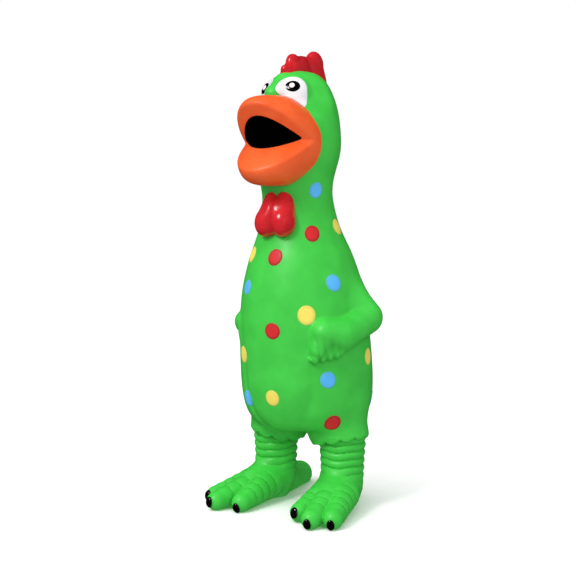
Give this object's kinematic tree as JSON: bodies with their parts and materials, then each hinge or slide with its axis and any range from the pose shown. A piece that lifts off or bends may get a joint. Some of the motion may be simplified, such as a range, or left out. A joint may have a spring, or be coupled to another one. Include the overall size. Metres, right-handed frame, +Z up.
{
  "type": "rubber chicken",
  "caption": "Upright hollow latex rubber chicken with an open beak, comb, wattle, bent wings, ringed legs, painted dots and a throat squeaker.",
  "frame": {"origin": "on the floor, under the middle of the outline", "axes": "+Z up, the chicken faces -Y, its left side is +X"},
  "size_m": [0.1062, 0.1066, 0.28],
  "materials": {
    "green_latex": "smooth satin latex, faint orange-peel",
    "orange_latex": "painted latex, satin, shaded from light to deep orange",
    "red_gloss": "painted latex, glossy",
    "black_mouth": "painted latex, matt black",
    "eye_white": "painted latex, satin white",
    "black_gloss": "painted latex, glossy black",
    "glint_white": "painted latex, glossy white",
    "dot_red": "painted latex, satin red",
    "dot_yellow": "painted latex, satin yellow",
    "dot_blue": "painted latex, satin blue",
    "whistle_plastic": "moulded plastic",
    "reed_plastic": "thin polyester film"
  },
  "bodies": {
    "torso": {"torso_skin": "green_latex", "left_wing": "green_latex", "right_wing": "green_latex", "red_dots_body": "dot_red", "yellow_dots_body": "dot_yellow", "blue_dots_body": "dot_blue"},
    "belly": {"belly_panel": "green_latex", "red_dot_belly": "dot_red", "yellow_dot_belly": "dot_yellow"},
    "head": {"head_skin": "green_latex", "upper_beak": "orange_latex", "lower_beak": "orange_latex", "mouth_lining": "black_mouth", "comb": "red_gloss", "wattle": "red_gloss", "left_eye": "eye_white", "right_eye": "eye_white", "left_pupil": "black_gloss", "right_pupil": "black_gloss", "left_glint": "glint_white", "right_glint": "glint_white", "red_dots_neck": "dot_red", "yellow_dots_neck": "dot_yellow", "blue_dots_neck": "dot_blue", "squeaker_collar": "green_latex", "squeaker_housing": "whistle_plastic", "squeaker_cap": "whistle_plastic", "reed_holder": "whistle_plastic"},
    "reed": {"squeaker_reed": "reed_plastic"},
    "left_leg": {"left_leg": "green_latex", "left_foot": "green_latex", "left_claws": "black_gloss"},
    "right_leg": {"right_leg": "green_latex", "right_foot": "green_latex", "right_claws": "black_gloss"}
  },
  "joints": [
    {"name": "neck_bend", "type": "hinge", "parent": "torso", "child": "head", "pos_m": [0, -0.00444, 0.15805], "axis": [1, 0, 0], "range_deg": [-25, 20], "stiffness_Nm_per_rad": 1},
    {"name": "left_leg_bend", "type": "hinge", "parent": "torso", "child": "left_leg", "pos_m": [0.025, 0.005, 0.036], "axis": [1, 0, 0], "range_deg": [-20, 20], "stiffness_Nm_per_rad": 1.5},
    {"name": "right_leg_bend", "type": "hinge", "parent": "torso", "child": "right_leg", "pos_m": [-0.025, 0.005, 0.036], "axis": [1, 0, 0], "range_deg": [-20, 20], "stiffness_Nm_per_rad": 1.5},
    {"name": "belly_press", "type": "slide", "parent": "torso", "child": "belly", "axis": [0, 1, 0], "range_m": [0, 0.012], "stiffness_N_per_m": 300},
    {"name": "reed_flutter", "type": "hinge", "parent": "head", "child": "reed", "pos_m": [0, -0.00875, 0.197], "axis": [1, 0, 0], "range_deg": [-2.5, 2.5], "stiffness_Nm_per_rad": 0.0002}
  ]
}
